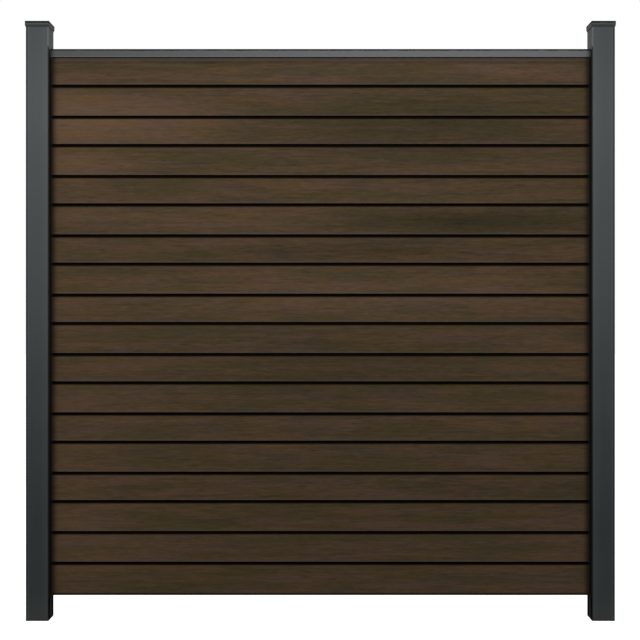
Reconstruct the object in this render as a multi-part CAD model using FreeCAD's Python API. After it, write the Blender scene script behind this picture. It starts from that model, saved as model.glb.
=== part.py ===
import FreeCAD
import Part

import math
import os

# Garden privacy screen: one bay of a plug-together fence.
# Two square extruded aluminium posts carry a wall of nine hollow wood-composite boards.
# Each board shows two slats, and meets the next one in a tongue and groove with an open
# shadow gap. The board ends slide down between rubber gaskets in the post channels.
# The stack starts on two spacers and is closed by a top rail; short fillers hold the rail
# down under the post caps, and a long cover closes the unused outer channel of each post.
#
# Millimetres. X runs along the wall, -Y is the front, Z is up.
# The origin is on the ground, midway between the posts.

# ---------------------------------------------------------------- driving sizes: the bay
opening_width = 1820.0         # clear width between the posts
ground_clearance = 80.0        # free height under the lowest board
post_above_rail = 84.7         # post length that stands above the top rail
board_count = 9

# ---------------------------------------------------------------- driving sizes: boards
board_thickness = 21.0
board_cover = 200.0            # height that each board adds to the wall
upper_slat_face = 86.5         # face height of a board's upper slat
shadow_gap = 9.0               # open height of a joint between two slats
shadow_depth = 6.5             # how far a joint lies behind the face
face_top_radius = 4.0          # soft upper edge of each slat
face_bottom_radius = 1.2       # crisp lower edge of each slat
tongue_radius = 1.0            # upper corners of a tongue
groove_reach = 10.0            # depth of the groove under a board
tongue_clearance = 0.4         # beside a tongue, on each side
groove_lip_radius = 0.8        # inner edge of the groove's lips
starter_drop = 16.0            # the lowest board is taller by this much, below its joint line
board_shell = 4.5              # solid skin between the face and the chambers
chamber_count = 4              # chambers in each slat
chamber_bevel = 3.0            # across the corners of a chamber
board_bite = 14.0              # how far a board goes into each post
expansion_room = 8.0           # left behind each board end for summer growth

# ---------------------------------------------------------------- driving sizes: posts
post_side = 76.0
post_wall = 2.0
post_corner_radius = 2.0
mouth_radius = 0.5             # broken edges of the channels
gasket_room = 2.5              # beside a board, on each side
rib_depth = 12.2               # from the post face to the rib that stops a gasket
rib_width = 1.5
rib_height = 1.2
port_hole_radius = 2.1         # screw ports, for 5 mm self-tapping screws
port_wall = 2.0
port_root = 0.5                # how deep a port's wall is rooted in the post's wall
port_mouth = 2.4               # slit along each port

# ---------------------------------------------------------------- driving sizes: small parts
gasket_base = 1.2              # thickness of the gasket's web
gasket_relief = 0.25           # left between a gasket's lips and the board
gasket_play = 0.4              # between a gasket and the rib
gasket_nose = 1.5              # root of the outer lip, on each side of the channel's mouth
gasket_flange = 1.0            # the part of that root that lies on the post
gasket_lip = 8.0               # how far the outer lip flares along the board
gasket_tip = 1.0               # thickness of that lip at its tip
gasket_tip_radius = 0.3
gasket_fin = 2.4               # length of the inner sealing lip
gasket_radius = 0.6

rail_height = 26.8
rail_gap = 6.5                 # shadow joint under the top rail
rail_wall = 1.8
rail_clearance = 0.2           # between the rail and the ribs of the channel
rail_edge_radius = 1.0

strip_clearance = 0.3          # beside a strip's face in the channel
strip_wall = 1.6
strip_leg_reach = 18.0
strip_leg_play = 0.2           # between a leg and the rib
strip_hook = 0.8               # how far a hook reaches behind the rib
strip_hook_length = 2.6

cap_overhang = 3.0
cap_clearance = 0.3
cap_plate = 3.0
cap_height = 19.3
cap_bevel_height = 6.7
cap_lip = 0.8                  # thickness of the skirt's lower edge
cap_corner_radius = 3.0
cap_edge_bevel = 1.2           # round the top
cap_leg_wall = 2.0
cap_leg_length = 15.0
cap_leg_clearance = 0.2
cap_leg_gap = 3.0              # from a leg's end to the nearest screw port

# ---------------------------------------------------------------- sizes that follow
post_centre = opening_width / 2 + post_side / 2
post_half = post_side / 2
post_inner_half = post_half - post_wall
channel_half = board_thickness / 2 + gasket_room
channel_depth = board_bite + expansion_room
core_half = post_half - channel_depth - post_wall
port_centre = post_inner_half - port_hole_radius - port_wall + port_root

board_half = board_thickness / 2
tongue_half = board_half - shadow_depth
groove_half = tongue_half + tongue_clearance
shoulder = board_cover - shadow_gap            # top of a board's face, from its lower edge
tongue_top = board_cover + groove_reach
board_length = opening_width + 2 * board_bite

first_board = ground_clearance + starter_drop
wall_top = first_board + (board_count - 1) * board_cover + shoulder
tongue_end = first_board + (board_count - 1) * board_cover + tongue_top
rail_bottom = wall_top + rail_gap
rail_top = rail_bottom + rail_height
post_length = rail_top + post_above_rail


# ---------------------------------------------------------------- outlines
def outline(corners, to_space):
    """Closed wire through corners given as (u, v, radius); a radius rounds its corner."""
    points = [FreeCAD.Vector(u, v, 0) for u, v, radius in corners]
    spans = []
    for i, (u, v, radius) in enumerate(corners):
        here = points[i]
        back = (points[i - 1] - here).normalize()
        ahead = (points[(i + 1) % len(points)] - here).normalize()
        half_angle = back.getAngle(ahead) / 2
        run = radius / math.tan(half_angle)
        middle = here + (back + ahead).normalize() * (radius / math.sin(half_angle) - radius)
        spans.append((here + back * run, middle, here + ahead * run, radius))
    edges = []
    for i, (start, middle, end, radius) in enumerate(spans):
        if radius > 0:
            arc = [to_space(p.x, p.y) for p in (start, middle, end)]
            edges.append(Part.Arc(*arc).toShape())
        following = spans[(i + 1) % len(spans)][0]
        edges.append(Part.LineSegment(to_space(end.x, end.y), to_space(following.x, following.y)).toShape())
    return Part.Wire(edges)


def mirrored(half):
    """A symmetric outline from its -u half, listed from bottom to top."""
    return half + [(-u, v, radius) for u, v, radius in reversed(half)]


def along_wall(corners, length):
    """Solid with its section in Y and Z, centred on the bay and length long."""
    def section(y, z):
        return FreeCAD.Vector(-length / 2, y, z)

    return Part.Face(outline(corners, section)).extrude(FreeCAD.Vector(length, 0, 0))


def upright(corners, bottom, top):
    """Solid with its section in X and Y, standing from bottom to top."""
    def section(x, y):
        return FreeCAD.Vector(x, y, bottom)

    return Part.Face(outline(corners, section)).extrude(FreeCAD.Vector(0, 0, top - bottom))


def square(half, radius):
    """Corners of a square about the origin."""
    return [(-half, -half, radius), (half, -half, radius), (half, half, radius), (-half, half, radius)]


# ---------------------------------------------------------------- boards
def board_face_edges(gap_bottom, gap_top):
    """Front half of a board above its lower edge: two slats, the groove between and the tongue."""
    return [
        (-board_half, gap_bottom, face_top_radius),
        (-tongue_half, gap_bottom, 0),
        (-tongue_half, gap_top, 0),
        (-board_half, gap_top, face_bottom_radius),
        (-board_half, shoulder, face_top_radius),
        (-tongue_half, shoulder, 0),
        (-tongue_half, tongue_top, tongue_radius),
    ]


def chambers(bottom, top):
    """Section outlines of the hollow chambers between two heights of a board."""
    deep = board_half - board_shell
    tall = (top - bottom - (chamber_count - 1) * board_shell) / chamber_count
    found = []
    for i in range(chamber_count):
        low = bottom + i * (tall + board_shell)
        high = low + tall
        half = [
            (-deep + chamber_bevel, low, 0),
            (-deep, low + chamber_bevel, 0),
            (-deep, high - chamber_bevel, 0),
            (-deep + chamber_bevel, high, 0),
        ]
        found.append(mirrored(half))
    return found


def board(starter):
    """One hollow board with its joint line at Z 0.

    A starter board reaches below that line with a closed edge, and its slats share the extra height.
    """
    gap_top = shoulder - upper_slat_face
    if starter:
        gap_top -= starter_drop / 2
        lower_edge = [(-board_half, -starter_drop, face_bottom_radius)]
        hollow_start = -starter_drop + board_shell
    else:
        lower_edge = [
            (-groove_half, groove_reach, 0),
            (-groove_half, 0, groove_lip_radius),
            (-board_half, 0, face_bottom_radius),
        ]
        hollow_start = groove_reach + board_shell
    gap_bottom = gap_top - shadow_gap
    solid = along_wall(mirrored(lower_edge + board_face_edges(gap_bottom, gap_top)), board_length)
    lower = chambers(hollow_start, gap_bottom - board_shell)
    upper = chambers(gap_top + board_shell, shoulder - board_shell)
    hollows = [along_wall(corners, board_length) for corners in lower + upper]
    return solid.cut(hollows)


# ---------------------------------------------------------------- top rail
def top_rail():
    """Hollow rail as long as a board, whose lower slot sits on the tongue of the top one."""
    half = channel_half - rib_height - rail_clearance
    outside = [
        (-groove_half, tongue_end, 0),
        (-groove_half, rail_bottom, 0),
        (-half, rail_bottom, rail_edge_radius),
        (-half, rail_top, rail_edge_radius),
    ]
    slot_wall = groove_half + rail_wall
    inside = [
        (-slot_wall, tongue_end + rail_wall, 0),
        (-slot_wall, rail_bottom + rail_wall, 0),
        (-half + rail_wall, rail_bottom + rail_wall, 0),
        (-half + rail_wall, rail_top - rail_wall, 0),
    ]
    return along_wall(mirrored(outside), board_length).cut(along_wall(mirrored(inside), board_length))


# ---------------------------------------------------------------- posts
def channel_edges():
    """One wall of a channel, from its mouth to its floor, for the channel on the +X side."""
    rib_face = post_half - rib_depth
    rib_back = rib_face - rib_width
    floor = post_half - channel_depth
    return [
        (post_half, -channel_half, mouth_radius),
        (rib_face, -channel_half, 0),
        (rib_face, -channel_half + rib_height, 0),
        (rib_back, -channel_half + rib_height, 0),
        (rib_back, -channel_half, 0),
        (floor, -channel_half, 0),
    ]


def post_section():
    """Outside of the post, with a channel in the +X and in the -X side."""
    right_front = [(post_half, -post_half, post_corner_radius)] + channel_edges()
    right = right_front + [(x, -y, radius) for x, y, radius in reversed(right_front)]
    return right + [(-x, -y, radius) for x, y, radius in right]


def cavity_section():
    """The one hollow of the post: a front room, a back room and the core between the channels."""
    wall_line = channel_half + post_wall
    right_front = [
        (post_inner_half, -post_inner_half, 0),
        (post_inner_half, -wall_line, 0),
        (core_half, -wall_line, 0),
    ]
    right = right_front + [(x, -y, radius) for x, y, radius in reversed(right_front)]
    return right + [(-x, -y, radius) for x, y, radius in right]


def screw_ports():
    """The four round ports in the corners of a post, and what is cut out of them."""
    walls = []
    cuts = []
    for turn in range(4):
        quarter = 90.0 * turn
        spot = FreeCAD.Vector(port_centre, port_centre, 0)
        wall = Part.makeCylinder(port_hole_radius + port_wall, post_length, spot)
        hole = Part.makeCylinder(port_hole_radius, post_length, spot)
        reach = port_hole_radius + 2 * port_wall
        mouth = Part.makeBox(reach, port_mouth, post_length, FreeCAD.Vector(0, -port_mouth / 2, 0))
        mouth.rotate(FreeCAD.Vector(0, 0, 0), FreeCAD.Vector(0, 0, 1), 225.0)
        mouth.translate(spot)
        for shape in (wall, hole, mouth):
            shape.rotate(FreeCAD.Vector(0, 0, 0), FreeCAD.Vector(0, 0, 1), quarter)
        walls.append(wall)
        cuts.extend([hole, mouth])
    return walls, cuts


def post():
    """Extruded post about the Z axis, standing on Z 0."""
    tube = upright(post_section(), 0, post_length).cut(upright(cavity_section(), 0, post_length))
    walls, cuts = screw_ports()
    return tube.fuse(walls).cut(cuts).removeSplitter()


# ---------------------------------------------------------------- strips and gaskets in a channel
def channel_strip(bottom, top):
    """Snap-in strip for the +X channel of a post: a flush face on two hooked legs."""
    face = post_half - strip_clearance
    face_back = face - strip_wall
    face_half = channel_half - strip_clearance
    leg = channel_half - rib_height - strip_leg_play
    hook_start = post_half - rib_depth - rib_width - strip_leg_play
    hook_end = hook_start - strip_hook_length
    leg_end = post_half - strip_leg_reach
    front = [
        (face, -face_half, 0),
        (face_back, -face_half, 0),
        (face_back, -leg, 0),
        (hook_start, -leg, 0),
        (hook_start, -leg - strip_hook, 0),
        (hook_end, -leg, 0),
        (leg_end, -leg, 0),
        (leg_end, -leg + strip_wall, 0),
        (face_back, -leg + strip_wall, 0),
    ]
    back = [(x, -y, radius) for x, y, radius in reversed(front)]
    return upright(front + back, bottom, top)


def gasket(bottom, top):
    """Sealing strip on the front wall of the +X channel: a web, an inner fin and a flared outer lip."""
    deep = rib_depth - gasket_play
    tall = gasket_room - gasket_relief
    section = [
        (0, 0, 0),
        (deep, 0, 0),
        (deep, tall, gasket_radius),
        (deep - gasket_fin, tall, gasket_radius),
        (deep - gasket_fin, gasket_base, 0),
        (gasket_nose, gasket_base, 0),
        (gasket_nose, tall, gasket_radius),
        (-gasket_lip, tall, gasket_tip_radius),
        (-gasket_lip, tall - gasket_tip, gasket_tip_radius),
        (-gasket_nose, -gasket_flange, gasket_radius),
        (0, -gasket_flange, 0),
    ]
    corners = [(post_half - depth, -channel_half + height, radius) for depth, height, radius in section]
    return upright(corners, bottom, top)


# ---------------------------------------------------------------- post cap
def post_cap():
    """Lid over the top of a post: a bevelled skirt outside and two legs inside."""
    half = post_half + cap_overhang
    skirt_half = post_half + cap_clearance
    low = post_length + cap_plate - cap_height
    bevel_top = low + cap_bevel_height
    high = post_length + cap_plate
    bevel = Part.makeLoft(
        [
            outline(square(skirt_half + cap_lip, cap_corner_radius), at_height(low)),
            outline(square(half, cap_corner_radius), at_height(bevel_top)),
        ],
        True,
        True,
    )
    band = upright(square(half, cap_corner_radius), bevel_top, high)
    rim = [edge for edge in band.Edges if edge.BoundBox.ZMin > high - cap_edge_bevel]
    band = band.makeChamfer(cap_edge_bevel, rim)
    hollow = upright(square(skirt_half, post_corner_radius), low, post_length)
    return bevel.fuse(band).cut(hollow).fuse(cap_legs()).removeSplitter()


def cap_legs():
    """Two blades that grip the front and the back wall of the post from inside."""
    outer = post_inner_half - cap_leg_clearance
    inner = outer - cap_leg_wall
    reach = port_centre - port_hole_radius - port_wall - cap_leg_gap
    top = post_length + cap_plate / 2
    bottom = post_length - cap_leg_length
    front = [(-reach, -outer, 0), (reach, -outer, 0), (reach, -inner, 0), (-reach, -inner, 0)]
    back = [(-x, -y, radius) for x, y, radius in front]
    return [upright(front, bottom, top), upright(back, bottom, top)]


def at_height(z):
    """Places outline corners in the level plane at height z."""
    def section(x, y):
        return FreeCAD.Vector(x, y, z)

    return section


# ---------------------------------------------------------------- assembly
def moved(shape, x=0.0, z=0.0):
    """A copy of shape, shifted along the wall and up."""
    copy = shape.copy()
    copy.translate(FreeCAD.Vector(x, 0, z))
    return copy


def turned(shape):
    """A copy of shape for the opposite side of a post, turned half a turn about the Z axis."""
    copy = shape.copy()
    copy.rotate(FreeCAD.Vector(0, 0, 0), FreeCAD.Vector(0, 0, 1), 180)
    return copy


def assembly():
    """Every sub-part at its place, by name."""
    parts = {}
    regular = board(starter=False)
    parts["board_1"] = moved(board(starter=True), z=first_board)
    for i in range(1, board_count):
        parts[f"board_{i + 1}"] = moved(regular, z=first_board + i * board_cover)
    parts["top_rail"] = top_rail()

    column = post()
    cap = post_cap()
    spacer = channel_strip(0, ground_clearance)
    filler = channel_strip(rail_top, post_length)
    cover = channel_strip(0, post_length)
    front_seal = gasket(ground_clearance, rail_bottom)
    back_seal = front_seal.mirror(FreeCAD.Vector(0, 0, 0), FreeCAD.Vector(0, 1, 0))
    for side, x in (("left", -post_centre), ("right", post_centre)):
        parts[f"post_{side}"] = moved(column, x=x)
        parts[f"post_cap_{side}"] = moved(cap, x=x)
    for name, shape in (("spacer", spacer), ("filler", filler)):
        parts[f"channel_{name}_left"] = moved(shape, x=-post_centre)
        parts[f"channel_{name}_right"] = moved(turned(shape), x=post_centre)
    parts["channel_cover_left"] = moved(turned(cover), x=-post_centre)
    parts["channel_cover_right"] = moved(cover, x=post_centre)
    parts["gasket_left_front"] = moved(front_seal, x=-post_centre)
    parts["gasket_left_back"] = moved(back_seal, x=-post_centre)
    parts["gasket_right_front"] = moved(turned(back_seal), x=post_centre)
    parts["gasket_right_back"] = moved(turned(front_seal), x=post_centre)
    return parts


os.makedirs("parts", exist_ok=True)
for name, shape in assembly().items():
    if not shape.isValid():
        raise ValueError(f"{name} is not a valid shape")
    shape.exportStep(f"parts/{name}.step")
    print(f"{name}: {len(shape.Solids)} solid, {shape.Volume / 1000:.1f} cm3")
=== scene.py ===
import math

import bmesh
import bpy
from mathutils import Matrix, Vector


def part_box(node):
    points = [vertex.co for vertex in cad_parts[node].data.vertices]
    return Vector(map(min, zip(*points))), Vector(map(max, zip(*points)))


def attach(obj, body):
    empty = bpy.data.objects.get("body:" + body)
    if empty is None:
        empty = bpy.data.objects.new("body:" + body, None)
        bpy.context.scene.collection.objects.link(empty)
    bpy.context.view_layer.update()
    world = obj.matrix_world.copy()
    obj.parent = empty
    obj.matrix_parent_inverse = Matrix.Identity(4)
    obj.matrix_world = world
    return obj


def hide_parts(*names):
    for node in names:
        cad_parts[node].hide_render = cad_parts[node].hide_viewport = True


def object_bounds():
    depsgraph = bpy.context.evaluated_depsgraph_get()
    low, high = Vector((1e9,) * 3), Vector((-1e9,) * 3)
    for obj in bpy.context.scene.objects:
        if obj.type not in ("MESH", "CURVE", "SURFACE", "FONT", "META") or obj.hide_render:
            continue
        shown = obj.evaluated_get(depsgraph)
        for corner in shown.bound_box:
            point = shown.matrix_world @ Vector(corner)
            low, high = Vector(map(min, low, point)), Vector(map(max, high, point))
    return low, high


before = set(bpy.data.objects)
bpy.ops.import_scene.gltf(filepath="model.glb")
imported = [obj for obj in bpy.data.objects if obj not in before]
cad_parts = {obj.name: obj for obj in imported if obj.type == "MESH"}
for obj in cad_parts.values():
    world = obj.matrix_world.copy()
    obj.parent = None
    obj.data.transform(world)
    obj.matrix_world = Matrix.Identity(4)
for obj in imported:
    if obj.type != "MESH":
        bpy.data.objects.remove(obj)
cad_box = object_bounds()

# ---------------------------------------------------------------- posts
# Two square tubes, extruded in aluminium with a channel down each side, sawn square and
# powder-coated in satin anthracite. Splashed soil has dulled the coat towards the ground, and
# sun and rain at the top. Painted shade and painted highlights run along the corners, the inner
# part is lightened as a painted highlight, and painted shade lies on the sawn feet and beside
# the boards.
POST_GREY = (0.0370, 0.0435, 0.0438)
COAT_GRAIN = 0.0012            # metres from one bump of the coat's texture to the next
COAT_GRAIN_DETAIL = 2.0
COAT_RELIEF = (0.00005, 1.0)   # height of a bump in metres, and its strength
CLOUD_DENSITY = 7.0
CLOUD_DETAIL = 3.0
COAT_CLOUDS = (0.92, 1.08)     # how the coat's tone strays
COAT_DULL = 0.8                # roughness where the gloss has gone
COAT_GLOSS = 0.53              # strength of the gloss where it is whole
COAT_GLOSS_ROUGHNESS = 0.42
SOILED = (0.35, 1.35)          # the coat is fully dull below the first height, glossy from the second
WEATHERED = (1.67, 2.10)       # from the first height up it dulls again
WEATHERED_LOSS = 0.5           # gloss that is lost at the second
RAGGED = 0.10                  # how far these heights stray
RAIN_STREAKS = ((0.006, 0.006, 0.45), 7.0, 2.0)  # size of a streak in metres, seed, and detail
RAIN_TONE = (0.90, 1.10)
# Painted shade and painted highlights along the corners: where each ends and where it is full,
# in metres from the corner, and by how much it darkens or brightens the coat.
OUTER_SHADE_LINE = (0.0077, 0.0060, 0.50)
OUTER_HIGHLIGHT_LINE = (0.0135, 0.0100, 0.30)
INNER_SHADE_LINE = (0.0047, 0.0023, 0.36)
INNER_HIGHLIGHT_LINE = (0.0110, 0.0075, 0.14)
INNER_HIGHLIGHT_ABOVE_RAIL = (0.0045, 0.0030, 1.10)  # painted highlight on the inner corners above the rail
HIGHLIGHT_TOWARDS_BOARDS = (-0.006, -0.022, 0.10)  # the same three, from a post's middle, for its paler part, a painted highlight
MIDDLE_BLEND = 0.004           # half the width over which the inner lines give way to the outer ones
HIGHLIGHT_ABOVE_RAIL = 0.006           # from the rail's top to where that painted highlight is full
SOIL_GREY = (0.075, 0.076, 0.072)
SOIL_HEIGHT = 0.12
SOIL_SHARE = 0.30
# Painted shade: on the sawn feet, the caps' bevels, and the upper edges of the rail and caps.
SHADE_GREY = (0.0120, 0.0125, 0.0120)
FOOT_SHADE = (0.0042, 0.0026)   # above the ground: where the painted shade on the sawn edge ends, and is full
# Painted shade on the sides of the posts beside the boards, and at the rail's ends.
SHADE_BROWN = (0.0075, 0.0062, 0.0042)
SIDE_REACH = (0.0015, 0.0005)  # in from the side beside the boards: where its painted shade ends, and is full
SIDE_TOP = 0.012               # how far above the rail that painted shade ends
SIDE_SHARE = 0.75
UNDER_WALL = (0.09, 0.07)      # heights between which that painted shade grows darker, under the wall
UNDER_WALL_SHARE = 0.25


def put(tree, kind, feeds=None, **settings):
    """Adds a node. Its settings are its own options; feeds are values or sockets for its inputs."""
    node = tree.nodes.new(kind)
    for option, value in settings.items():
        setattr(node, option, value)
    for place, value in (feeds or {}).items():
        if isinstance(value, bpy.types.NodeSocket):
            tree.links.new(value, node.inputs[place])
        else:
            node.inputs[place].default_value = value
    return node


def calc(tree, operation, *terms):
    """Result of a Math node on values or sockets."""
    return put(tree, "ShaderNodeMath", dict(enumerate(terms)), operation=operation).outputs[0]


def product(tree, first, *others):
    """Product of values or sockets."""
    for other in others:
        first = calc(tree, "MULTIPLY", first, other)
    return first


def rest_of(tree, share):
    """What a share leaves of 1."""
    return calc(tree, "SUBTRACT", 1.0, share)


def split(tree, vector):
    """X, Y and Z of a vector."""
    return put(tree, "ShaderNodeSeparateXYZ", {0: vector}).outputs


def spread(tree, value, low, high):
    """Carries a value between 0 and 1 over to the range from low to high."""
    return put(tree, "ShaderNodeMapRange", {"Value": value, "To Min": low, "To Max": high}).outputs[0]


def smooth_step(tree, value, start, end):
    """Rises smoothly from 0 to 1 while value goes from start to end."""
    feeds = {"Value": value, "From Min": start, "From Max": end}
    return put(tree, "ShaderNodeMapRange", feeds, interpolation_type="SMOOTHSTEP").outputs[0]


def mix_colour(tree, share, first, second):
    """Colour between first, at share 0, and second, at share 1."""
    node = put(tree, "ShaderNodeMix", {"Factor": share}, data_type="RGBA")
    for place, value in ((6, first), (7, second)):
        if isinstance(value, bpy.types.NodeSocket):
            tree.links.new(value, node.inputs[place])
        else:
            node.inputs[place].default_value = (*value, 1.0)
    return node.outputs[2]


def times(tree, vector, factor):
    """Colour or direction times a number."""
    return put(tree, "ShaderNodeVectorMath", {0: vector, "Scale": factor}, operation="SCALE").outputs[0]


def shader_group(name, inputs, outputs):
    """Empty shader group with named sockets: its tree, what it is given and its output node."""
    tree = bpy.data.node_groups.new(name, "ShaderNodeTree")
    for label, kind, value in inputs:
        socket = tree.interface.new_socket(label, in_out="INPUT", socket_type=kind)
        socket.default_value = value
    for label, kind in outputs:
        tree.interface.new_socket(label, in_out="OUTPUT", socket_type=kind)
    return tree, tree.nodes.new("NodeGroupInput").outputs, tree.nodes.new("NodeGroupOutput")


def coat_texture_group():
    """Fine orange peel of a powder coat, and its faint cloudiness."""
    inputs = [("Vector", "NodeSocketVector", (0, 0, 0)), ("Grain", "NodeSocketFloat", 0.001)]
    outputs = [("Height", "NodeSocketFloat"), ("Tone", "NodeSocketFloat")]
    tree, given, made = shader_group("coat_texture", inputs, outputs)
    density = calc(tree, "DIVIDE", 1.0, given["Grain"])
    feeds = {"Vector": given["Vector"], "Scale": density, "Detail": COAT_GRAIN_DETAIL}
    peel = put(tree, "ShaderNodeTexNoise", feeds)
    feeds = {"Vector": given["Vector"], "Scale": CLOUD_DENSITY, "Detail": CLOUD_DETAIL}
    cloud = put(tree, "ShaderNodeTexNoise", feeds)
    tree.links.new(peel.outputs[0], made.inputs["Height"])
    tree.links.new(cloud.outputs[0], made.inputs["Tone"])
    return tree


def streak_group():
    """Noise drawn out along one axis: how far each streak runs and how thick it is are inputs."""
    inputs = [
        ("Vector", "NodeSocketVector", (0, 0, 0)),
        ("Seed", "NodeSocketFloat", 0.0),
        ("Run", "NodeSocketVector", (1, 1, 1)),
        ("Detail", "NodeSocketFloat", 3.0),
    ]
    tree, given, made = shader_group("streaks", inputs, [("Value", "NodeSocketFloat")])
    drawn = put(tree, "ShaderNodeVectorMath", {0: given["Vector"], 1: given["Run"]}, operation="DIVIDE")
    feeds = {"Vector": drawn.outputs[0], "W": given["Seed"], "Scale": 1.0, "Detail": given["Detail"]}
    noise = put(tree, "ShaderNodeTexNoise", feeds, noise_dimensions="4D")
    tree.links.new(noise.outputs[0], made.inputs["Value"])
    return tree


COAT_TEXTURE = coat_texture_group()
STREAKS = streak_group()


def streaks(tree, place, run, seed, detail=3.0):
    """Streaks of a mean size run, in metres along X, Y and Z."""
    feeds = {"Vector": place, "Seed": seed, "Run": run, "Detail": detail}
    return put(tree, "ShaderNodeGroup", feeds, node_tree=STREAKS).outputs[0]


def new_material(name, roughness, specular):
    """Material with its tree, its shader and the object's own coordinates."""
    material = bpy.data.materials.new(name)
    material.use_nodes = True
    tree = material.node_tree
    shader = tree.nodes["Principled BSDF"]
    shader.inputs["Roughness"].default_value = roughness
    shader.inputs["Specular IOR Level"].default_value = specular
    place = put(tree, "ShaderNodeTexCoord").outputs["Object"]
    return material, tree, shader, place


def add_relief(tree, shader, height, depth, strength):
    """Fine relief of a depth in metres, as deep as height says between 0 and 1."""
    bump = put(tree, "ShaderNodeBump", {"Strength": strength, "Distance": depth, "Height": height})
    tree.links.new(bump.outputs[0], shader.inputs["Normal"])


def lay_coat(tree, shader, place, colour, painted_shade=0.0):
    """Finishes a shader as powder coat over a colour, duller low down, at the top and under painted shade."""
    shader.inputs["Coat Roughness"].default_value = COAT_GLOSS_ROUGHNESS
    coat = put(tree, "ShaderNodeGroup", {"Vector": place, "Grain": COAT_GRAIN}, node_tree=COAT_TEXTURE)
    tone = spread(tree, coat.outputs["Tone"], *COAT_CLOUDS)
    tree.links.new(times(tree, colour, tone), shader.inputs["Base Color"])
    height = calc(tree, "ADD", split(tree, place)[2], product(tree, coat.outputs["Tone"], RAGGED))
    worn = product(tree, smooth_step(tree, height, *WEATHERED), WEATHERED_LOSS)
    gloss = product(tree, smooth_step(tree, height, *SOILED), rest_of(tree, worn), rest_of(tree, painted_shade))
    tree.links.new(product(tree, gloss, COAT_GLOSS), shader.inputs["Coat Weight"])
    add_relief(tree, shader, coat.outputs["Height"], *COAT_RELIEF)


def dress(node, material):
    """Gives a solid of the frame its finish."""
    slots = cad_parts[node].data.materials
    slots.clear()
    slots.append(material)


POST_LOW, POST_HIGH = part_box("post_right")
POST_CENTRE = (POST_LOW.x + POST_HIGH.x) / 2
POST_HALF = (POST_HIGH.x - POST_LOW.x) / 2
RAIL_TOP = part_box("top_rail")[1].z


def corner_lines(tree, aside, deep, height):
    """Strengths of the painted highlight and of the painted shade along each corner of a post."""
    nearer = calc(tree, "MINIMUM", calc(tree, "ABSOLUTE", aside), deep)
    inset = calc(tree, "SUBTRACT", POST_HALF, nearer)
    inner = smooth_step(tree, aside, MIDDLE_BLEND, -MIDDLE_BLEND)
    outer = rest_of(tree, inner)
    free = product(tree, inner, smooth_step(tree, height, RAIL_TOP, RAIL_TOP + HIGHLIGHT_ABOVE_RAIL))
    beside = calc(tree, "SUBTRACT", inner, free)

    def line(share, end, full, strength):
        return product(tree, share, smooth_step(tree, inset, end, full), strength)

    pale = calc(tree, "ADD", line(outer, *OUTER_HIGHLIGHT_LINE), line(beside, *INNER_HIGHLIGHT_LINE))
    pale = calc(tree, "ADD", pale, line(free, *INNER_HIGHLIGHT_ABOVE_RAIL))
    dark = calc(tree, "ADD", line(outer, *OUTER_SHADE_LINE), line(beside, *INNER_SHADE_LINE))
    return pale, dark


def post_coat():
    """Coat of a post, with streaks of rain, soil low down, and its painted shade and highlights."""
    material, tree, shader, place = new_material("anthracite_powder_coat", COAT_DULL, 0.0)
    x, y, z = split(tree, place)
    aside = calc(tree, "SUBTRACT", calc(tree, "ABSOLUTE", x), POST_CENTRE)
    pale, dark = corner_lines(tree, aside, calc(tree, "ABSOLUTE", y), z)
    start, end, strength = HIGHLIGHT_TOWARDS_BOARDS
    pale = calc(tree, "ADD", product(tree, smooth_step(tree, aside, start, end), strength), pale)
    rain = spread(tree, streaks(tree, place, *RAIN_STREAKS), *RAIN_TONE)
    tone = product(tree, rain, calc(tree, "ADD", 1.0, pale), rest_of(tree, dark))
    colour = times(tree, POST_GREY, tone)
    soil = product(tree, smooth_step(tree, z, SOIL_HEIGHT, 0.0), SOIL_SHARE)
    colour = mix_colour(tree, soil, colour, SOIL_GREY)
    foot = smooth_step(tree, z, *FOOT_SHADE)
    colour = mix_colour(tree, foot, colour, SHADE_GREY)
    facing = smooth_step(tree, aside, SIDE_REACH[0] - POST_HALF, SIDE_REACH[1] - POST_HALF)
    beside = product(tree, facing, smooth_step(tree, z, RAIL_TOP + SIDE_TOP, RAIL_TOP))
    under_wall_extra = product(tree, smooth_step(tree, z, *UNDER_WALL), UNDER_WALL_SHARE)
    share = product(tree, beside, calc(tree, "ADD", SIDE_SHARE, under_wall_extra))
    colour = mix_colour(tree, share, colour, SHADE_BROWN)
    lay_coat(tree, shader, place, colour, calc(tree, "MAXIMUM", foot, dark))
    return material


POST_COAT = post_coat()
for side in ("left", "right"):
    dress(f"post_{side}", POST_COAT)

# ---------------------------------------------------------------- strips in the channels
# Thin extruded strips with two hooked legs, coated like the posts. Long ones close the outer
# channels. Short ones hold the rail down under the caps, and carry the lowest board. The inner
# ones are darker near the ground.
STRIP_GREY = (0.033, 0.038, 0.038)
STRIP_LOW_GREY = (0.0230, 0.0228, 0.0220)
STRIP_DARKENING = (0.4, 0.2)      # heights between which an inner strip darkens
STRIP_BLEND = 0.001            # either side of a post's middle, which parts inner strips from outer


def strip_coat():
    """Coat of a strip, darker on the inner ones near the ground."""
    material, tree, shader, place = new_material("strip_powder_coat", COAT_DULL, 0.0)
    x, _, z = split(tree, place)
    inner = smooth_step(tree, calc(tree, "ABSOLUTE", x), POST_CENTRE + STRIP_BLEND, POST_CENTRE - STRIP_BLEND)
    darkened = product(tree, inner, smooth_step(tree, z, *STRIP_DARKENING))
    lay_coat(tree, shader, place, mix_colour(tree, darkened, STRIP_GREY, STRIP_LOW_GREY))
    return material


STRIP_COAT = strip_coat()
for side in ("left", "right"):
    for strip in ("cover", "spacer", "filler"):
        dress(f"channel_{strip}_{side}", STRIP_COAT)
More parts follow.
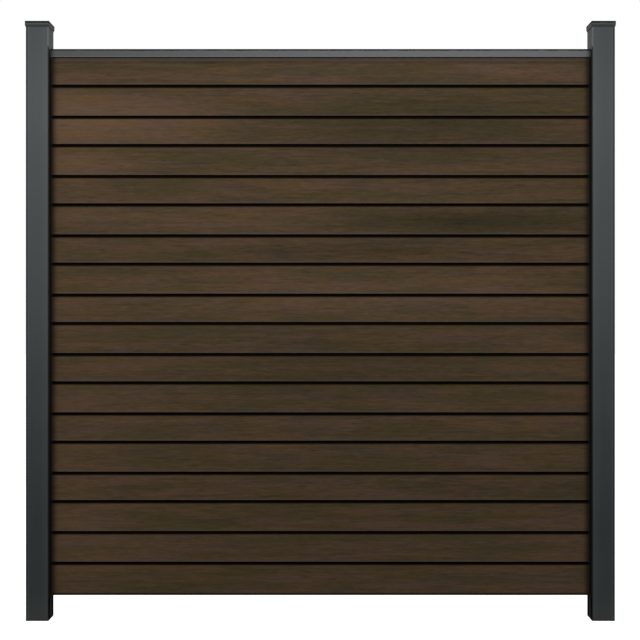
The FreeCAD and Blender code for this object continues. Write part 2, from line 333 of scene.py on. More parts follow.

# ---------------------------------------------------------------- gaskets
# Black rubber seals, pushed into the mouths of the channels before the boards go in. A lip on
# each flares over the boards, its black standing in for the shade beside the posts, and it is
# painted brown like the shaded boards beside the slats, though not beside the joints. Their skin
# is dull, with faint lines along it from the die.
RUBBER_BLACK = (0.0040, 0.0034, 0.0024)
RUBBER_BLOOM = (0.0070, 0.0060, 0.0044)
RUBBER_ROUGHNESS = 0.8
RUBBER_SPECULAR = 0.01
DIE_LINES = ((0.0008, 0.0008, 0.3), 4.0)  # size of a line in metres, and seed
DIE_LINE_RELIEF = (0.0001, 0.6)  # depth in metres, and strength
# Painted shade: the lip is tinted like the boards in shade.
LIP_SHADE_BROWN = (0.024, 0.019, 0.011)
LIP_SHADE_SHARE = 0.85
LIP_SHADE_REACH = (0.0015, 0.0080)       # from a post: where the painted shade brown on a lip starts, and where it is full
JOINT_UNTINTED = (0.0060, 0.0040) # from the middle of a joint: where the untinted stretch ends, and is full
OUTLINE_STEP = 0.0026          # between points round a board's section
FACE_MARGIN = 0.0008           # how far behind a board's face its brushed surface still reaches
SAME_POINT = 1e-6              # corners nearer than this are one
SAME_PLANE = 1e-5              # faces nearer than this to a sawn end lie in it


def sawn_outline(node):
    """Points (y, z) round the sawn end of a board, in order, with its long sides divided."""
    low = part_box(node)[0]
    bm = bmesh.new()
    bm.from_mesh(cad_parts[node].data)
    bmesh.ops.remove_doubles(bm, verts=bm.verts, dist=SAME_POINT)
    end = {face for face in bm.faces if all(abs(v.co.x - low.x) < SAME_PLANE for v in face.verts)}
    rim = [edge for edge in bm.edges if sum(face in end for face in edge.link_faces) == 1]
    neighbours = {}
    for edge in rim:
        for here, there in (edge.verts, reversed(edge.verts)):
            neighbours.setdefault(here, []).append(there)
    start = min(neighbours, key=lambda v: (v.co.z, v.co.y))
    loop = [start, max(neighbours[start], key=lambda v: v.co.y)]
    while loop[-1] is not start:
        loop.append(next(v for v in neighbours[loop[-1]] if v is not loop[-2]))
    points = []
    for here, there in zip(loop, loop[1:]):
        parts = max(1, round((there.co - here.co).length / OUTLINE_STEP))
        for part in range(parts):
            spot = here.co.lerp(there.co, part / parts)
            points.append((spot.y, spot.z))
    bm.free()
    return points


def slat_edges(points):
    """Heights of the two slats on the face of a section: bottom and top of each."""
    front = min(y for y, z in points)
    heights = sorted(z for y, z in points if y < front + FACE_MARGIN)
    breaks = [(a, b) for a, b in zip(heights, heights[1:]) if b - a > 2 * OUTLINE_STEP]
    return heights[0], breaks[0][0], breaks[0][1], heights[-1]


BOARDS = sorted(int(name.split("_")[1]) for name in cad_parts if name.startswith("board_"))
SECTIONS = {number: sawn_outline(f"board_{number}") for number in BOARDS}
SLATS = {number: slat_edges(SECTIONS[number]) for number in BOARDS}


def joint_heights():
    """Middles of the dark joints: the one within each board, and the ones between two boards."""
    within = [(slats[1] + slats[2]) / 2 for slats in SLATS.values()]
    tops = [slats[3] for slats in SLATS.values()][:-1]
    bottoms = [slats[0] for slats in SLATS.values()][1:]
    return within + [(top + bottom) / 2 for top, bottom in zip(tops, bottoms)]


def gasket_rubber():
    """Rubber with the lines of the die, and painted shade brown on the lip beside each slat."""
    material, tree, shader, place = new_material("gasket_rubber", RUBBER_ROUGHNESS, RUBBER_SPECULAR)
    lines = streaks(tree, place, *DIE_LINES)
    rubber = mix_colour(tree, lines, RUBBER_BLACK, RUBBER_BLOOM)
    x, _, z = split(tree, place)
    out = calc(tree, "SUBTRACT", POST_LOW.x, calc(tree, "ABSOLUTE", x))
    away = 1.0
    for height in joint_heights():
        away = calc(tree, "MINIMUM", away, calc(tree, "ABSOLUTE", calc(tree, "SUBTRACT", z, height)))
    beside_slats = rest_of(tree, smooth_step(tree, away, *JOINT_UNTINTED))
    lip_shade = product(tree, smooth_step(tree, out, *LIP_SHADE_REACH), beside_slats, LIP_SHADE_SHARE)
    tree.links.new(mix_colour(tree, lip_shade, rubber, LIP_SHADE_BROWN), shader.inputs["Base Color"])
    add_relief(tree, shader, lines, *DIE_LINE_RELIEF)
    return material


GASKET_RUBBER = gasket_rubber()
for side in ("left", "right"):
    for face in ("front", "back"):
        dress(f"gasket_{side}_{face}", GASKET_RUBBER)

# ---------------------------------------------------------------- boards
# Nine hollow boards, extruded from wood fibre and plastic, embossed and brushed to a dark walnut
# grain, and sawn to length, which drop down the channels. Shade is painted into the grooves, on
# the upper edges of the slats, at the ends beside the posts and along the wall's two edges, and
# highlights are painted along the slats' edges.
STATION_STEP = 0.012           # between sections along a board
CRISP_ANGLE = 35               # corners sharper than this, in degrees, are shaded crisp
EMBOSS_DEPTH = 0.00025
EMBOSS_RUN = (0.30, 0.05, 0.0075)
EMBOSS_RANGE = (0.48, 0.72)    # of the noise: where a hollow starts, and where it is full
BOARD_SEED = 11.3              # from one board to the next
SLAT_SEED = 3.7                # from a board's lower slat to its upper one
WELD = 1e-5                    # the sides of a board join its ends where they are nearer than this

# The grain: length, depth and height of a streak in metres, how finely it breaks up, and a seed.
GRAIN = {
    "patches": ((0.36, 0.2, 0.032), 3.0, 0.0),
    "tint": ((0.22, 0.2, 0.024), 3.0, 50.0),
    "bands": ((0.20, 0.2, 0.010), 3.0, 0.0),
    "lines": ((0.11, 0.2, 0.0036), 3.0, 0.0),
    "mottles": ((0.040, 0.2, 0.0065), 2.0, 0.0),
    "fibres": ((0.018, 0.2, 0.0012), 2.0, 0.0),
    "flecks": ((0.05, 0.2, 0.0040), 1.0, 0.0),
}
WALNUT_OLIVE = (0.0565, 0.0425, 0.0213)
WALNUT_RED = (0.082, 0.0495, 0.0295)
HUE_RANGE = (0.30, 0.70)       # of the patches: fully olive, and fully red
HUE_MOTTLE = 0.30              # how much the mottles stray from the hue of their patch
GOLDEN = (1.02, 1.01, 0.86)    # what the bands of tint do to red, green and blue
DUSKY = (0.98, 0.99, 1.16)
TINT_RANGE = (0.32, 0.68)      # fully golden, and fully dusky
WALNUT_DARK = (0.038, 0.0288, 0.0182)
BAND_RANGE = (0.45, 1.00)      # of the bands: where a dark one starts, and where it is full
SHADES = {"lines": 0.48, "mottles": 0.45, "fibres": 0.55}  # how much each lightens and darkens
FLECK_RANGE = (0.60, 0.74)
FLECK_SHADE = 0.22
GRAIN_ROUGHNESS = (0.66, 0.90)
GRAIN_SPECULAR = 0.02
GRAIN_RELIEF = (0.0005, 0.8)   # depth in metres, and strength
HEIGHTS = {"lines": 0.7, "fibres": 0.3}  # what each adds to that relief
NOISE_MIDDLE = 0.5             # a noise's mean
# Patches where the colour drifts while a board is extruded: X, Z, half length, half height, and
# how much redder and lighter, or darker where negative.
DRIFTS = (
    (0.70, 1.85, 0.80, 0.07, 0.30),
    (-0.82, 1.68, 0.70, 0.14, 1.10),
    (-0.85, 1.53, 0.50, 0.07, 0.60),
    (0.34, 1.66, 0.75, 0.18, -0.65),
    (-0.50, 1.35, 0.70, 0.07, 0.35),
    (0.53, 1.34, 0.68, 0.065, -1.05),
    (0.12, 1.24, 0.85, 0.055, -0.55),
    (0.00, 1.09, 1.90, 0.12, 0.50),
    (0.15, 0.84, 0.80, 0.17, -0.40),
    (-0.92, 0.68, 0.50, 0.46, 0.35),
    (-0.90, 0.26, 0.50, 0.30, 0.50),
    (-0.95, 1.50, 0.35, 0.90, 0.30),
    (0.72, 0.44, 0.50, 0.12, -0.25),
    (0.15, 0.42, 0.75, 0.42, -0.18),
)
DRIFT_HUE = 0.20               # what a drift of 1 does to the hue, the dark bands and the level
DRIFT_BANDS = 0.12
DRIFT_LEVEL = 0.30

# Painted shade, and painted highlights along the slats' edges.
BOARD_SHADE_DARK = (0.0030, 0.0018, 0.0010)
UPPER_EDGE_SHADE = (-0.0030, 0.0050) # below a slat's top: where its painted shade is whole, and where it has gone
END_SHADE = (-0.003, 0.029)     # the same from the posts, at the ends of a board
GROOVE_SHADE = 0.0022           # behind the brushed face, to where the painted shade in a groove is full
LOW_EDGE_SHADE = (0.0085, 0.0062)    # above the wall's lower edge: where the painted shade ends, and is full
LOW_EDGE_SHADE_SHARE = 0.80
EDGE_HIGHLIGHT_GREY = (0.075, 0.073, 0.069)
LOW_EDGE_HIGHLIGHT = (0.0070, 0.0020)         # the same for the painted highlight on the lower edge of a slat, from its bottom
CREST_HIGHLIGHT = (0.0065, 0.0035)       # and for the painted highlight on the upper edge of the top board, from its top
HIGHLIGHT_SHARE = 0.30
UNDER_RAIL_SHADE = (0.020, 0.009)          # and for the band of painted shade below that edge, under the rail
UNDER_RAIL_SHADE_SHARE = 0.27
NEAR_TOP = UNDER_RAIL_SHADE[0] + 0.004     # how far down the top board's edge is marked for these two


def board_tree():
    """Draws a section out along X as a closed board and embosses its faces."""
    tree = bpy.data.node_groups.new("board_body", "GeometryNodeTree")
    sockets = (
        ("Section", "NodeSocketGeometry"),
        ("Length", "NodeSocketFloat"),
        ("Stations", "NodeSocketInt"),
        ("Face Depth", "NodeSocketFloat"),
        ("Emboss Depth", "NodeSocketFloat"),
        ("Emboss Run", "NodeSocketVector"),
        ("Lower Slat Bottom", "NodeSocketFloat"),
        ("Lower Slat Top", "NodeSocketFloat"),
        ("Upper Slat Bottom", "NodeSocketFloat"),
        ("Upper Slat Top", "NodeSocketFloat"),
        ("Open Top", "NodeSocketFloat"),
        ("Seed", "NodeSocketFloat"),
        ("Material", "NodeSocketMaterial"),
    )
    for label, kind in sockets:
        tree.interface.new_socket(label, in_out="INPUT", socket_type=kind)
    tree.interface.new_socket("Board", in_out="OUTPUT", socket_type="NodeSocketGeometry")
    given = tree.nodes.new("NodeGroupInput").outputs
    made = tree.nodes.new("NodeGroupOutput")

    # The sides: a grid with one column for each point of the section, laid round it.
    size = put(tree, "GeometryNodeAttributeDomainSize", {0: given["Section"]}, component="MESH")
    around = size.outputs["Point Count"]
    columns = calc(tree, "ADD", around, 1.0)
    grid = put(tree, "GeometryNodeMeshGrid", {"Vertices X": given["Stations"], "Vertices Y": columns})
    index = put(tree, "GeometryNodeInputIndex").outputs[0]
    column = calc(tree, "MODULO", calc(tree, "MODULO", index, columns), around)
    station = calc(tree, "FLOOR", calc(tree, "DIVIDE", calc(tree, "ADD", index, 0.5), columns))
    position = put(tree, "GeometryNodeInputPosition").outputs[0]
    sample = put(tree, "GeometryNodeSampleIndex", data_type="FLOAT_VECTOR", domain="POINT")
    tree.links.new(given["Section"], sample.inputs["Geometry"])
    tree.links.new(position, sample.inputs["Value"])
    tree.links.new(column, sample.inputs["Index"])
    spot = split(tree, sample.outputs[0])
    last = calc(tree, "SUBTRACT", given["Stations"], 1.0)
    drawn = product(tree, given["Length"], calc(tree, "DIVIDE", station, last))
    laid = put(tree, "ShaderNodeCombineXYZ", {0: calc(tree, "ADD", spot[0], drawn), 1: spot[1], 2: spot[2]})
    sides = put(tree, "GeometryNodeSetPosition", {"Geometry": grid.outputs[0], "Position": laid.outputs[0]})

    # The two sawn ends close it.
    shift = put(tree, "ShaderNodeCombineXYZ", {0: given["Length"]})
    far = put(tree, "GeometryNodeTransform", {"Geometry": given["Section"], "Translation": shift.outputs[0]})
    near = put(tree, "GeometryNodeFlipFaces", {0: given["Section"]})
    join = put(tree, "GeometryNodeJoinGeometry")
    for part in (sides, near, far):
        tree.links.new(part.outputs[0], join.inputs[0])
    closed = put(tree, "GeometryNodeMergeByDistance", {"Geometry": join.outputs[0], "Distance": WELD})

    # Which slat a point is on, how high above its lower edge and how far below its upper edge.
    _, y, z = split(tree, position)
    between = calc(tree, "ADD", given["Lower Slat Top"], given["Upper Slat Bottom"])
    upper = calc(tree, "GREATER_THAN", z, product(tree, between, 0.5))
    edges = []
    for end in ("Bottom", "Top"):
        step = calc(tree, "SUBTRACT", given[f"Upper Slat {end}"], given[f"Lower Slat {end}"])
        edges.append(calc(tree, "ADD", given[f"Lower Slat {end}"], product(tree, upper, step)))
    rise = calc(tree, "SUBTRACT", z, edges[0])
    fall = calc(tree, "SUBTRACT", edges[1], z)
    behind = calc(tree, "GREATER_THAN", y, 0.0)
    seed = calc(tree, "ADD", given["Seed"], calc(tree, "ADD", product(tree, upper, SLAT_SEED), behind))
    near_top = calc(tree, "LESS_THAN", product(tree, fall, upper), NEAR_TOP)
    open_top = product(tree, near_top, upper, given["Open Top"])
    kept = closed.outputs[0]
    stored = (("slat_rise", rise), ("slat_fall", fall), ("open_top", open_top), ("grain_seed", seed))
    for name, value in stored:
        feeds = {"Geometry": kept, "Name": name}
        store = put(tree, "GeometryNodeStoreNamedAttribute", feeds, data_type="FLOAT")
        tree.links.new(value, store.inputs["Value"])
        kept = store.outputs[0]

    # The embossing: long shallow hollows, pressed into the faces only.
    run = put(tree, "ShaderNodeVectorMath", {0: position, 1: given["Emboss Run"]}, operation="DIVIDE")
    noise = put(tree, "ShaderNodeTexNoise", {"W": seed, "Scale": 1.0, "Detail": 1.0}, noise_dimensions="4D")
    tree.links.new(run.outputs[0], noise.inputs["Vector"])
    pressed = smooth_step(tree, noise.outputs[0], *EMBOSS_RANGE)
    on_face = calc(tree, "GREATER_THAN", calc(tree, "ABSOLUTE", y), given["Face Depth"])
    depth = product(tree, pressed, on_face, given["Emboss Depth"])
    normal = put(tree, "GeometryNodeInputNormal").outputs[0]
    inwards = times(tree, normal, product(tree, depth, -1.0))
    relief = put(tree, "GeometryNodeSetPosition", {"Geometry": kept, "Offset": inwards})

    # Round stretches are shaded smooth, and corners stay crisp.
    smooth = put(tree, "GeometryNodeSetShadeSmooth", {"Geometry": relief.outputs[0]}, domain="FACE")
    angle = put(tree, "GeometryNodeInputMeshEdgeAngle").outputs["Unsigned Angle"]
    crisp = put(tree, "GeometryNodeSetShadeSmooth", {"Geometry": smooth.outputs[0]}, domain="EDGE")
    crisp.inputs["Shade Smooth"].default_value = False
    tree.links.new(calc(tree, "GREATER_THAN", angle, math.radians(CRISP_ANGLE)), crisp.inputs["Selection"])
    real = put(tree, "GeometryNodeRealizeInstances", {0: crisp.outputs[0]})
    feeds = {"Geometry": real.outputs[0], "Material": given["Material"]}
    finished = put(tree, "GeometryNodeSetMaterial", feeds)
    tree.links.new(finished.outputs[0], made.inputs[0])
    return tree


def drift(tree, place):
    """Sum of the patches where the colour drifts, below 0 where it is darker."""
    x, _, z = split(tree, place)
    total = 0.0
    for patch_x, patch_z, half_length, half_height, amount in DRIFTS:
        along = calc(tree, "DIVIDE", calc(tree, "SUBTRACT", x, patch_x), half_length)
        up = calc(tree, "DIVIDE", calc(tree, "SUBTRACT", z, patch_z), half_height)
        squares = calc(tree, "ADD", calc(tree, "POWER", along, 2.0), calc(tree, "POWER", up, 2.0))
        patch = product(tree, smooth_step(tree, calc(tree, "SQRT", squares), 1.0, 0.0), amount)
        total = calc(tree, "ADD", total, patch)
    return total


def walnut(tree, place, grain):
    """Colour of the brushed grain: hue, tint, dark bands, and the shades of its lines and flecks."""
    moved = drift(tree, place)

    def around_middle(name, strength):
        return product(tree, calc(tree, "SUBTRACT", grain[name], NOISE_MIDDLE), strength)

    hue = calc(tree, "ADD", grain["patches"], around_middle("mottles", HUE_MOTTLE))
    hue = calc(tree, "ADD", hue, product(tree, moved, DRIFT_HUE))
    colour = mix_colour(tree, smooth_step(tree, hue, *HUE_RANGE), WALNUT_OLIVE, WALNUT_RED)
    tint = mix_colour(tree, smooth_step(tree, grain["tint"], *TINT_RANGE), GOLDEN, DUSKY)
    colour = put(tree, "ShaderNodeVectorMath", {0: colour, 1: tint}, operation="MULTIPLY").outputs[0]
    bands = calc(tree, "SUBTRACT", grain["bands"], product(tree, moved, DRIFT_BANDS))
    colour = mix_colour(tree, smooth_step(tree, bands, *BAND_RANGE), colour, WALNUT_DARK)
    level = calc(tree, "ADD", 1.0, product(tree, moved, DRIFT_LEVEL))
    for name, strength in SHADES.items():
        level = calc(tree, "ADD", level, around_middle(name, strength))
    flecks = product(tree, smooth_step(tree, grain["flecks"], *FLECK_RANGE), FLECK_SHADE)
    return times(tree, colour, calc(tree, "SUBTRACT", level, flecks))


def board_composite():
    """Composite of a board: brushed grain on the faces, painted highlights on edges, painted shade elsewhere.
    """
    material, tree, shader, place = new_material("walnut_composite", GRAIN_ROUGHNESS[0], GRAIN_SPECULAR)
    stored = {}
    for name in ("grain_seed", "slat_rise", "slat_fall", "open_top"):
        stored[name] = put(tree, "ShaderNodeAttribute", attribute_name=name).outputs["Fac"]
    rise, fall, open_top = stored["slat_rise"], stored["slat_fall"], stored["open_top"]
    grain = {}
    for name, (run, detail, own_seed) in GRAIN.items():
        seed = calc(tree, "ADD", stored["grain_seed"], own_seed)
        grain[name] = streaks(tree, place, run, seed, detail)

    # Painted shade under the rail, below the top board's upper edge.
    under_rail = product(tree, smooth_step(tree, fall, *UNDER_RAIL_SHADE), open_top, UNDER_RAIL_SHADE_SHARE)
    colour = times(tree, walnut(tree, place, grain), rest_of(tree, under_rail))
    # Painted highlights along the slats' lower edges and the top board's upper edge.
    crest = product(tree, smooth_step(tree, fall, *CREST_HIGHLIGHT), open_top)
    edge_highlight = product(tree, calc(tree, "MAXIMUM", smooth_step(tree, rise, *LOW_EDGE_HIGHLIGHT), crest), HIGHLIGHT_SHARE)
    colour = mix_colour(tree, edge_highlight, colour, EDGE_HIGHLIGHT_GREY)

    # Painted shade in the grooves, on the slats' upper edges, at the ends and along the lower edge.
    x, y, z = split(tree, place)
    face = BOARD_HALF - FACE_MARGIN
    on_face = smooth_step(tree, calc(tree, "ABSOLUTE", y), face - GROOVE_SHADE, face)
    unshaded = product(tree, smooth_step(tree, fall, *UPPER_EDGE_SHADE), on_face)
    unshaded = calc(tree, "MAXIMUM", unshaded, open_top)
    from_post = calc(tree, "SUBTRACT", POST_LOW.x, calc(tree, "ABSOLUTE", x))
    low_edge = smooth_step(tree, calc(tree, "SUBTRACT", z, WALL_BOTTOM), *LOW_EDGE_SHADE)
    above_low_edge = rest_of(tree, product(tree, low_edge, LOW_EDGE_SHADE_SHARE))
    unshaded = product(tree, unshaded, smooth_step(tree, from_post, *END_SHADE), above_low_edge)
    tree.links.new(mix_colour(tree, unshaded, BOARD_SHADE_DARK, colour), shader.inputs["Base Color"])

    tree.links.new(spread(tree, grain["lines"], *GRAIN_ROUGHNESS), shader.inputs["Roughness"])
    heights = [product(tree, grain[name], share) for name, share in HEIGHTS.items()]
    add_relief(tree, shader, calc(tree, "ADD", *heights), *GRAIN_RELIEF)
    return material


def plain_copy(maker, name):
    """The evaluated mesh of an object as a plain object with no modifier; the maker goes."""
    graph = bpy.context.evaluated_depsgraph_get()
    mesh = bpy.data.meshes.new_from_object(maker.evaluated_get(graph))
    mesh.name = name
    bpy.data.objects.remove(maker)
    piece = bpy.data.objects.new(name, mesh)
    bpy.context.scene.collection.objects.link(piece)
    return piece


def set_inputs(modifier, values):
    """Sets a modifier's named inputs through the identifiers of their sockets."""
    for socket in modifier.node_group.interface.items_tree:
        if socket.name in values:
            modifier[socket.identifier] = values[socket.name]


def make_board(number, tree, material):
    """One board: its own section, drawn out by the node tree."""
    node = f"board_{number}"
    low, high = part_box(node)
    points = SECTIONS[number]
    mesh = bpy.data.meshes.new("section")
    mesh.from_pydata([(low.x, y, z) for y, z in points], [], [tuple(range(len(points)))])
    maker = bpy.data.objects.new("section", mesh)
    bpy.context.scene.collection.objects.link(maker)
    slats = SLATS[number]
    modifier = maker.modifiers.new("board", "NODES")
    modifier.node_group = tree
    values = {
        "Length": high.x - low.x,
        "Stations": round((high.x - low.x) / STATION_STEP) + 1,
        "Face Depth": BOARD_HALF - FACE_MARGIN,
        "Emboss Depth": EMBOSS_DEPTH,
        "Emboss Run": EMBOSS_RUN,
        "Lower Slat Bottom": slats[0],
        "Lower Slat Top": slats[1],
        "Upper Slat Bottom": slats[2],
        "Upper Slat Top": slats[3],
        "Open Top": float(number == BOARDS[-1]),
        "Seed": BOARD_SEED * number,
        "Material": material,
    }
    set_inputs(modifier, values)
    piece = plain_copy(maker, f"composite_board_{number}")
    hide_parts(node)
    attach(piece, "root")


WALL_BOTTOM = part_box("board_1")[0].z
BOARD_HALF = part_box("board_1")[1].y
BOARD_TREE = board_tree()
BOARD_COMPOSITE = board_composite()
for board_number in BOARDS:
    make_board(board_number, BOARD_TREE, BOARD_COMPOSITE)

# ---------------------------------------------------------------- top rail
# A hollow aluminium rail that sits on the tongue of the top board with its ends in the post
# channels. It is a shade lighter than the posts, with fine lines along it from drawing. A painted
# reflection brightens it from its left end towards the middle, painted shade runs along its upper
# edges and at its ends, and a painted highlight along its lower ones.
RAIL_GREY = (0.099, 0.104, 0.108)
RAIL_GREY_UNLIT = (0.056, 0.058, 0.058)
RAIL_REFLECTION_RAMP = (-0.95, 0.45)  # along X: the painted reflection, from dim to full
DRAWN_LINES = ((0.5, 0.0012, 0.0012), 2.0)  # size of a line in metres, and seed
DRAWN_TONE = (0.85, 1.15)
DRAWN_RELIEF = (0.00005, 0.5)  # depth in metres, and strength
RAIL_HIGHLIGHT_GREY = (0.135, 0.138, 0.135)
RAIL_LOW_HIGHLIGHT = (0.0036, 0.0012) # above its bottom: where the painted highlight ends, and where it is full
RAIL_HIGHLIGHT_SHARE = 0.7
RAIL_TOP_SHADE = (0.0060, 0.0050)   # below its top: where the line of painted shade ends, and where it is full
TOP_SHADE_INSET = (0.0045, 0.0010)  # the same, in from the upper edges of the rail and of the caps
TOP_SHADE_PATCHES = ((0.030, 0.030, 0.010), 3.0)  # size of a patch in metres, and seed
TOP_SHADE_RAGGED = 0.005            # how far the line of painted shade strays
RAIL_ROUGHNESS = (0.45, 0.95)  # where it is clean, and under the painted shade
RAIL_SPECULAR = 0.12
RAIL_END_SHADE = (0.021, -0.005)  # from a post: where the painted shade at the rail's ends ends, and is full
RAIL_END_SHARE = 0.85
RAIL_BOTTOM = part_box("top_rail")[0].z
RAIL_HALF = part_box("top_rail")[1].y


def top_edge_shade(tree, place, depth, inset, reach):
    """1 where shade is painted round the upper edges of a piece, for an uneven depth below its top."""
    uneven = calc(tree, "SUBTRACT", streaks(tree, place, *TOP_SHADE_PATCHES), NOISE_MIDDLE)
    stray = product(tree, uneven, TOP_SHADE_RAGGED)
    down = smooth_step(tree, calc(tree, "ADD", depth, stray), *reach)
    return product(tree, down, smooth_step(tree, calc(tree, "ADD", inset, stray), *TOP_SHADE_INSET))


def rail_finish():
    """Drawn aluminium with painted reflection and highlights, and painted shade on its upper edges and ends.
    """
    material, tree, shader, place = new_material("rail_satin", RAIL_ROUGHNESS[0], RAIL_SPECULAR)
    lines = streaks(tree, place, *DRAWN_LINES)
    x, y, z = split(tree, place)
    colour = mix_colour(tree, smooth_step(tree, x, *RAIL_REFLECTION_RAMP), RAIL_GREY_UNLIT, RAIL_GREY)
    colour = times(tree, colour, spread(tree, lines, *DRAWN_TONE))
    low_highlight = smooth_step(tree, calc(tree, "SUBTRACT", z, RAIL_BOTTOM), *RAIL_LOW_HIGHLIGHT)
    colour = mix_colour(tree, product(tree, low_highlight, RAIL_HIGHLIGHT_SHARE), colour, RAIL_HIGHLIGHT_GREY)
    depth = calc(tree, "SUBTRACT", RAIL_TOP, z)
    inset = calc(tree, "SUBTRACT", RAIL_HALF, calc(tree, "ABSOLUTE", y))
    painted_shade = top_edge_shade(tree, place, depth, inset, RAIL_TOP_SHADE)
    colour = mix_colour(tree, painted_shade, colour, SHADE_GREY)
    tree.links.new(spread(tree, painted_shade, *RAIL_ROUGHNESS), shader.inputs["Roughness"])
    from_post = calc(tree, "SUBTRACT", POST_LOW.x, calc(tree, "ABSOLUTE", x))
    ends = product(tree, smooth_step(tree, from_post, *RAIL_END_SHADE), RAIL_END_SHARE)
    tree.links.new(mix_colour(tree, ends, colour, SHADE_BROWN), shader.inputs["Base Color"])
    add_relief(tree, shader, lines, *DRAWN_RELIEF)
    return material


dress("top_rail", rail_finish())

# ---------------------------------------------------------------- caps
# Cast aluminium lids, pressed into the tops of the posts by two legs and coated like them.
# Their skirt stands 3 mm proud of the post and closes to it below in a bevel, which carries
# painted shade. A line of painted shade runs round the upper edges.
CAP_SKIRT = 0.0193             # height of the skirt
CAP_BEVEL = 0.0067             # height of the bevel at its bottom
BEVEL_SHADE = (-0.002, 0.001)   # from the bevel's upper edge: where the painted shade starts, and where it is full
BEVEL_SHARE = 0.45
CAP_TOP_SHADE = (0.0072, 0.0060)    # from the top: where the line of painted shade ends, and where it is full
CAP_TOP_SHADE_DULL = 0.85           # gloss that the painted shade takes
CAP_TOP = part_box("post_cap_left")[1].z
CAP_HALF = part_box("post_cap_left")[1].y


def cap_coat():
    """Coat of a cap, with painted shade on its bevel and in a line round the top."""
    material, tree, shader, place = new_material("cap_powder_coat", COAT_DULL, 0.0)
    x, y, z = split(tree, place)
    depth = calc(tree, "SUBTRACT", CAP_TOP, z)
    aside = calc(tree, "ABSOLUTE", calc(tree, "SUBTRACT", calc(tree, "ABSOLUTE", x), POST_CENTRE))
    inset = calc(tree, "SUBTRACT", CAP_HALF, calc(tree, "MAXIMUM", aside, calc(tree, "ABSOLUTE", y)))
    start, full = (CAP_SKIRT - CAP_BEVEL + reach for reach in BEVEL_SHADE)
    bevel = product(tree, smooth_step(tree, depth, start, full), BEVEL_SHARE)
    colour = mix_colour(tree, bevel, POST_GREY, SHADE_GREY)
    painted_shade = top_edge_shade(tree, place, depth, inset, CAP_TOP_SHADE)
    colour = mix_colour(tree, painted_shade, colour, SHADE_GREY)
    lay_coat(tree, shader, place, colour, product(tree, painted_shade, CAP_TOP_SHADE_DULL))
    return material


CAP_COAT = cap_coat()
for side in ("left", "right"):
    dress(f"post_cap_{side}", CAP_COAT)

# ---------------------------------------------------------------- ground
# A pale level ground, one large matt sheet, which is not part of the screen. It shows white,
# less the soft shadow that the screen lays on it.
GROUND_SIZE = 60.0
GROUND_PALE = (0.45, 0.45, 0.45)
GROUND_TONE = (0.98, 1.0)
GROUND_CLOUDS = 3.0            # density of that unevenness
GROUND_ROUGHNESS = 0.9
SHADOW_GLOW = 0.86             # how much of its white the ground has without the lamps
SHADOW_REACH = (1.2, 3.5)      # start and end of the ground's fade to plain white, from the middle


def seen_directly(tree):
    """1 for rays from the camera and for what gloss or glass shows, and 0 for light."""
    rays = put(tree, "ShaderNodeLightPath").outputs
    either = calc(tree, "MAXIMUM", rays["Is Camera Ray"], rays["Is Glossy Ray"])
    return calc(tree, "MAXIMUM", either, rays["Is Transmission Ray"])


def ground_material():
    """Pale and slightly uneven, with a glow that only the camera sees, and gloss or glass."""
    material, tree, shader, place = new_material("pale_ground", GROUND_ROUGHNESS, 0.0)
    clouds = put(tree, "ShaderNodeTexNoise", {"Vector": place, "Scale": GROUND_CLOUDS})
    colour = times(tree, GROUND_PALE, spread(tree, clouds.outputs[0], *GROUND_TONE))
    tree.links.new(colour, shader.inputs["Base Color"])
    away = put(tree, "ShaderNodeVectorMath", {0: place}, operation="LENGTH").outputs["Value"]
    feeds = {"Value": away, "From Min": SHADOW_REACH[0], "From Max": SHADOW_REACH[1], "To Min": SHADOW_GLOW}
    white = put(tree, "ShaderNodeMapRange", feeds).outputs[0]
    glow = put(tree, "ShaderNodeEmission", {"Strength": product(tree, seen_directly(tree), white)})
    both = put(tree, "ShaderNodeAddShader", {0: shader.outputs[0], 1: glow.outputs[0]})
    tree.links.new(both.outputs[0], tree.nodes["Material Output"].inputs["Surface"])
    return material


bm = bmesh.new()
bmesh.ops.create_grid(bm, x_segments=8, y_segments=8, size=GROUND_SIZE / 2)
ground_mesh = bpy.data.meshes.new("ground")
bm.to_mesh(ground_mesh)
bm.free()
ground_mesh.materials.append(ground_material())
ground = bpy.data.objects.new("ground", ground_mesh)
bpy.context.scene.collection.objects.link(ground)

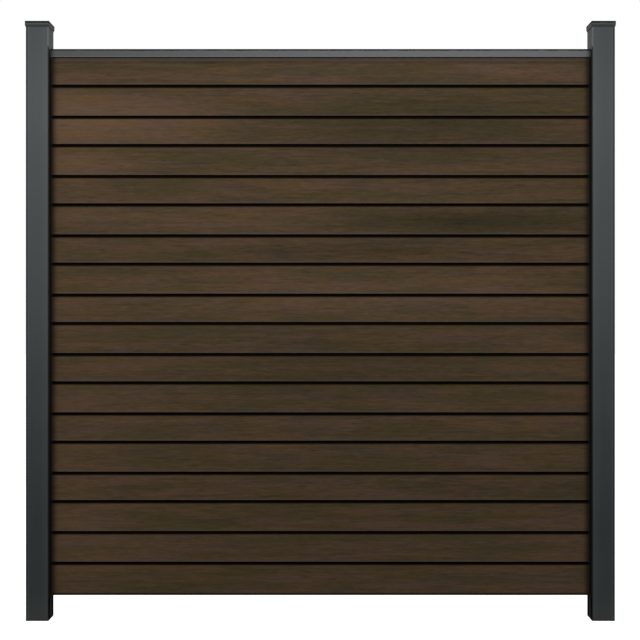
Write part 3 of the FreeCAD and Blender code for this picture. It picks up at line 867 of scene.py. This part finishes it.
# ---------------------------------------------------------------- light
# A broad soft lamp high in front, a little to the left, and two weaker ones behind, for the back
# and the outer sides. Over a dim even surround the light falls off from the caps to the ground.
# What shows behind the screen is white.
SURROUND = 0.42
LAMPS = (
    # name, place, aims at, width, height, watts
    ("high_front", (-0.1, -2.3, 2.65), (0.0, 0.0, 1.4), 3.4, 0.8, 62.0),
    ("back_left", (-2.4, 1.8, 2.3), (-0.3, 0.0, 1.1), 1.8, 1.2, 40.0),
    ("back_right", (2.4, 1.8, 2.3), (0.3, 0.0, 1.1), 1.8, 1.2, 40.0),
)

world = bpy.data.worlds.new("surround")
bpy.context.scene.world = world
world.use_nodes = True
sky = world.node_tree.nodes["Background"]
sky.inputs["Color"].default_value = (1.0, 1.0, 1.0, 1.0)
sky_level = spread(world.node_tree, seen_directly(world.node_tree), SURROUND, 1.0)
world.node_tree.links.new(sky_level, sky.inputs["Strength"])


def aim(thing, place, target):
    """Puts a lamp or a camera at place, looking at target."""
    away = [b - a for a, b in zip(place, target)]
    thing.location = place
    flat = math.hypot(away[0], away[1])
    thing.rotation_euler = (math.atan2(flat, -away[2]), 0.0, math.atan2(-away[0], away[1]))


for name, place, target, width, height, watts in LAMPS:
    lamp = bpy.data.lights.new(name, "AREA")
    lamp.shape = "RECTANGLE"
    lamp.size, lamp.size_y, lamp.energy = width, height, watts
    lamp_object = bpy.data.objects.new(name, lamp)
    bpy.context.scene.collection.objects.link(lamp_object)
    aim(lamp_object, place, target)

# ---------------------------------------------------------------- camera
# Level with the middle of the screen and square to it, 3.9 m in front of the posts. The lens
# sets how large the posts' faces come out, and their middle falls on MIDDLE_PIXEL.
SENSOR = 0.036
PIXELS = 640
FRONT_PIXELS_PER_METRE = 298.85
CAMERA_DISTANCE = 3.9
MIDDLE_PIXEL = (320.37, 320.96)

camera = bpy.data.cameras.new("camera")
camera.sensor_width = SENSOR * 1000
camera.lens = FRONT_PIXELS_PER_METRE * CAMERA_DISTANCE / PIXELS * camera.sensor_width
camera_object = bpy.data.objects.new("camera", camera)
bpy.context.scene.collection.objects.link(camera_object)
offset = [(pixel - PIXELS / 2) / FRONT_PIXELS_PER_METRE for pixel in MIDDLE_PIXEL]
eye = (-offset[0], POST_LOW.y - CAMERA_DISTANCE, cad_box[1].z / 2 + offset[1])
aim(camera_object, eye, (eye[0], 0.0, eye[2]))
bpy.context.scene.camera = camera_object
bpy.context.scene.view_settings.view_transform = "Standard"
